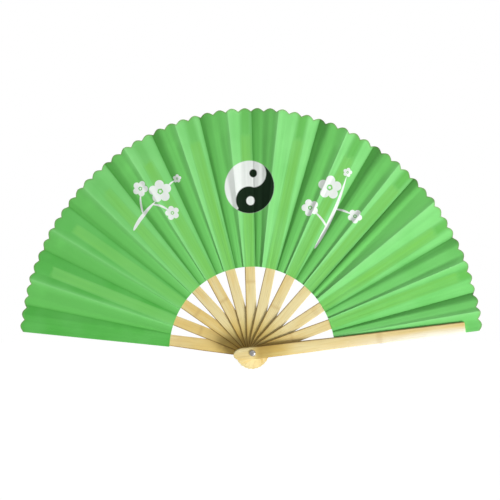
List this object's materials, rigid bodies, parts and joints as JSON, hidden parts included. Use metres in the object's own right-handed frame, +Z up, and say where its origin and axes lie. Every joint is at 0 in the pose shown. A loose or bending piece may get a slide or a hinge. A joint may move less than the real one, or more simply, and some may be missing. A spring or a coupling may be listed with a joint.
{
  "type": "folding fan",
  "caption": "Folding hand fan for tai chi practice: bamboo sticks turn on one steel rivet and carry a pleated cloth leaf with a scalloped edge.",
  "frame": {"origin": "the rivet's axis, in the middle of the stack of sticks, where the hand grips the fan", "axes": "+X to the right as the painted side is seen, -Y towards the viewer of the painted side, +Z up along the middle of the open fan"},
  "size_m": [0.6431, 0.0355, 0.3636],
  "materials": {
    "bamboo": "satin, pale yellow bamboo with fine straight grain",
    "leaf_cloth": "matt, thin bright green woven cloth with a painted front",
    "rivet_steel": "polished"
  },
  "bodies": {
    "stick_00": {"back_guard": "bamboo", "panel_00": "leaf_cloth", "pleat_01": "leaf_cloth"},
    "stick_01": {"rib_01": "bamboo", "panel_01": "leaf_cloth", "pleat_02": "leaf_cloth"},
    "stick_02": {"rib_02": "bamboo", "panel_02": "leaf_cloth", "pleat_03": "leaf_cloth"},
    "stick_03": {"rib_03": "bamboo", "panel_03": "leaf_cloth", "pleat_04": "leaf_cloth"},
    "stick_04": {"rib_04": "bamboo", "panel_04": "leaf_cloth", "pleat_05": "leaf_cloth"},
    "stick_05": {"rib_05": "bamboo", "panel_05": "leaf_cloth", "pleat_06": "leaf_cloth"},
    "stick_06": {"rib_06": "bamboo", "panel_06": "leaf_cloth", "rivet_pin": "rivet_steel", "rivet_washer": "rivet_steel", "rivet_cap": "rivet_steel"},
    "stick_07": {"rib_07": "bamboo", "panel_07": "leaf_cloth", "pleat_07": "leaf_cloth"},
    "stick_08": {"rib_08": "bamboo", "panel_08": "leaf_cloth", "pleat_08": "leaf_cloth"},
    "stick_09": {"rib_09": "bamboo", "panel_09": "leaf_cloth", "pleat_09": "leaf_cloth"},
    "stick_10": {"rib_10": "bamboo", "panel_10": "leaf_cloth", "pleat_10": "leaf_cloth"},
    "stick_11": {"rib_11": "bamboo", "panel_11": "leaf_cloth", "pleat_11": "leaf_cloth"},
    "stick_12": {"front_guard": "bamboo", "panel_12": "leaf_cloth", "pleat_12": "leaf_cloth"}
  },
  "joints": [
    {"name": "fold_01", "type": "hinge", "parent": "stick_01", "child": "stick_00", "pos_m": [0, 0, 0], "axis": [0, 1, 0], "range_deg": [0, 14.1], "deforming": ["pleat_01"]},
    {"name": "fold_02", "type": "hinge", "parent": "stick_02", "child": "stick_01", "pos_m": [0, 0, 0], "axis": [0, 1, 0], "range_deg": [0, 13.1], "deforming": ["pleat_02"]},
    {"name": "fold_03", "type": "hinge", "parent": "stick_03", "child": "stick_02", "pos_m": [0, 0, 0], "axis": [0, 1, 0], "range_deg": [0, 12.9], "deforming": ["pleat_03"]},
    {"name": "fold_04", "type": "hinge", "parent": "stick_04", "child": "stick_03", "pos_m": [0, 0, 0], "axis": [0, 1, 0], "range_deg": [0, 13.3], "deforming": ["pleat_04"]},
    {"name": "fold_05", "type": "hinge", "parent": "stick_05", "child": "stick_04", "pos_m": [0, 0, 0], "axis": [0, 1, 0], "range_deg": [0, 13.7], "deforming": ["pleat_05"]},
    {"name": "fold_06", "type": "hinge", "parent": "stick_06", "child": "stick_05", "pos_m": [0, 0, 0], "axis": [0, 1, 0], "range_deg": [0, 13.6], "deforming": ["pleat_06"]},
    {"name": "fold_07", "type": "hinge", "parent": "stick_06", "child": "stick_07", "pos_m": [0, 0, 0], "axis": [0, -1, 0], "range_deg": [0, 14], "deforming": ["pleat_07"]},
    {"name": "fold_08", "type": "hinge", "parent": "stick_07", "child": "stick_08", "pos_m": [0, 0, 0], "axis": [0, -1, 0], "range_deg": [0, 14.3], "deforming": ["pleat_08"]},
    {"name": "fold_09", "type": "hinge", "parent": "stick_08", "child": "stick_09", "pos_m": [0, 0, 0], "axis": [0, -1, 0], "range_deg": [0, 14.5], "deforming": ["pleat_09"]},
    {"name": "fold_10", "type": "hinge", "parent": "stick_09", "child": "stick_10", "pos_m": [0, 0, 0], "axis": [0, -1, 0], "range_deg": [0, 15.4], "deforming": ["pleat_10"]},
    {"name": "fold_11", "type": "hinge", "parent": "stick_10", "child": "stick_11", "pos_m": [0, 0, 0], "axis": [0, -1, 0], "range_deg": [0, 13.3], "deforming": ["pleat_11"]},
    {"name": "fold_12", "type": "hinge", "parent": "stick_11", "child": "stick_12", "pos_m": [0, 0, 0], "axis": [0, -1, 0], "range_deg": [0, 13.4], "deforming": ["pleat_12"]}
  ],
  "couplings": [
    {"joint": "fold_01", "follows": "fold_07", "ratio": 1.0071},
    {"joint": "fold_02", "follows": "fold_07", "ratio": 0.93571},
    {"joint": "fold_03", "follows": "fold_07", "ratio": 0.92143},
    {"joint": "fold_04", "follows": "fold_07", "ratio": 0.95},
    {"joint": "fold_05", "follows": "fold_07", "ratio": 0.97857},
    {"joint": "fold_06", "follows": "fold_07", "ratio": 0.97143},
    {"joint": "fold_08", "follows": "fold_07", "ratio": 1.0214},
    {"joint": "fold_09", "follows": "fold_07", "ratio": 1.0357},
    {"joint": "fold_10", "follows": "fold_07", "ratio": 1.1},
    {"joint": "fold_11", "follows": "fold_07", "ratio": 0.95},
    {"joint": "fold_12", "follows": "fold_07", "ratio": 0.95714}
  ]
}
